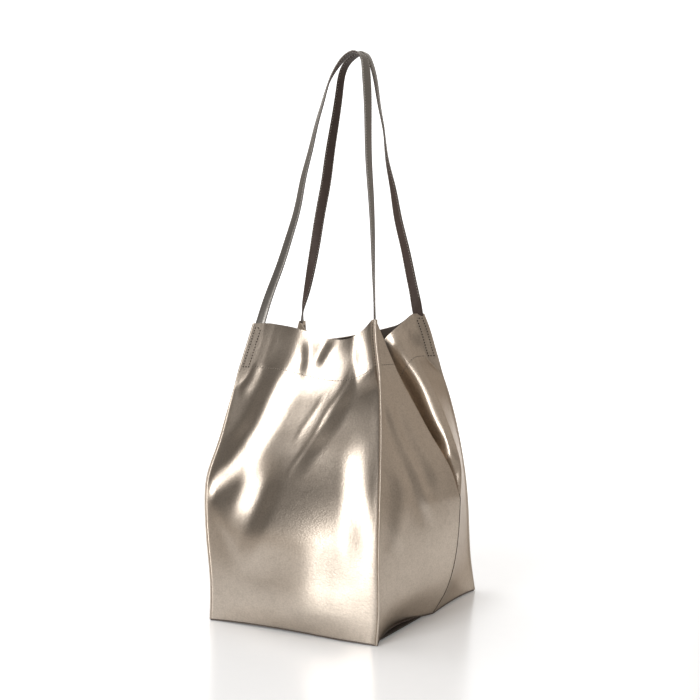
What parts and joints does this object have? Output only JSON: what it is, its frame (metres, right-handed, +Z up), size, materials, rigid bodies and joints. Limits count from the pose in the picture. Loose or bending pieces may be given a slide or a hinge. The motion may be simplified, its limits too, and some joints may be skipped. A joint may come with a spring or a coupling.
{
  "type": "trapeze bag",
  "caption": "Open leather tote with a flat rectangular base, panels that lean in to a small mouth, folded side gussets and two thin straps that swing down.",
  "frame": {"origin": "middle of the base, on the floor", "axes": "+X runs to the right along the front panel, +Y to the back, +Z up; the front panel faces -Y"},
  "size_m": [0.252, 0.2458, 0.5831],
  "materials": {
    "panel_leather": "metallic bronze-grey leather, semi-gloss",
    "trim_leather": "metallic bronze-grey leather, semi-gloss",
    "strap_leather": "metallic grey leather, semi-gloss",
    "strap_lining": "dark brown leather, matt",
    "base_stiffener": "cloth-covered board, matt"
  },
  "bodies": {
    "bag": {"front_panel": "panel_leather", "back_panel": "panel_leather", "right_gusset_front": "panel_leather", "right_gusset_back": "panel_leather", "left_gusset_front": "panel_leather", "left_gusset_back": "panel_leather", "base_panel": "panel_leather", "base_board": "base_stiffener", "base_welt": "trim_leather", "front_left_welt": "trim_leather", "front_right_welt": "trim_leather", "back_left_welt": "trim_leather", "back_right_welt": "trim_leather", "front_facing": "trim_leather", "back_facing": "trim_leather", "right_facing_front": "trim_leather", "right_facing_back": "trim_leather", "left_facing_front": "trim_leather", "left_facing_back": "trim_leather", "front_left_strap_end": "strap_leather", "front_right_strap_end": "strap_leather", "back_left_strap_end": "strap_leather", "back_right_strap_end": "strap_leather"},
    "front_handle": {"front_strap": "strap_leather", "front_strap_lining": "strap_lining"},
    "back_handle": {"back_strap": "strap_leather", "back_strap_lining": "strap_lining"}
  },
  "joints": [
    {"name": "front_handle_swing", "type": "hinge", "parent": "bag", "child": "front_handle", "pos_m": [-0.013, -0.04437, 0.317], "axis": [1, 0, 0], "range_deg": [0, 140]},
    {"name": "back_handle_swing", "type": "hinge", "parent": "bag", "child": "back_handle", "pos_m": [-0.013, 0.04437, 0.317], "axis": [-1, 0, 0], "range_deg": [0, 140]}
  ]
}
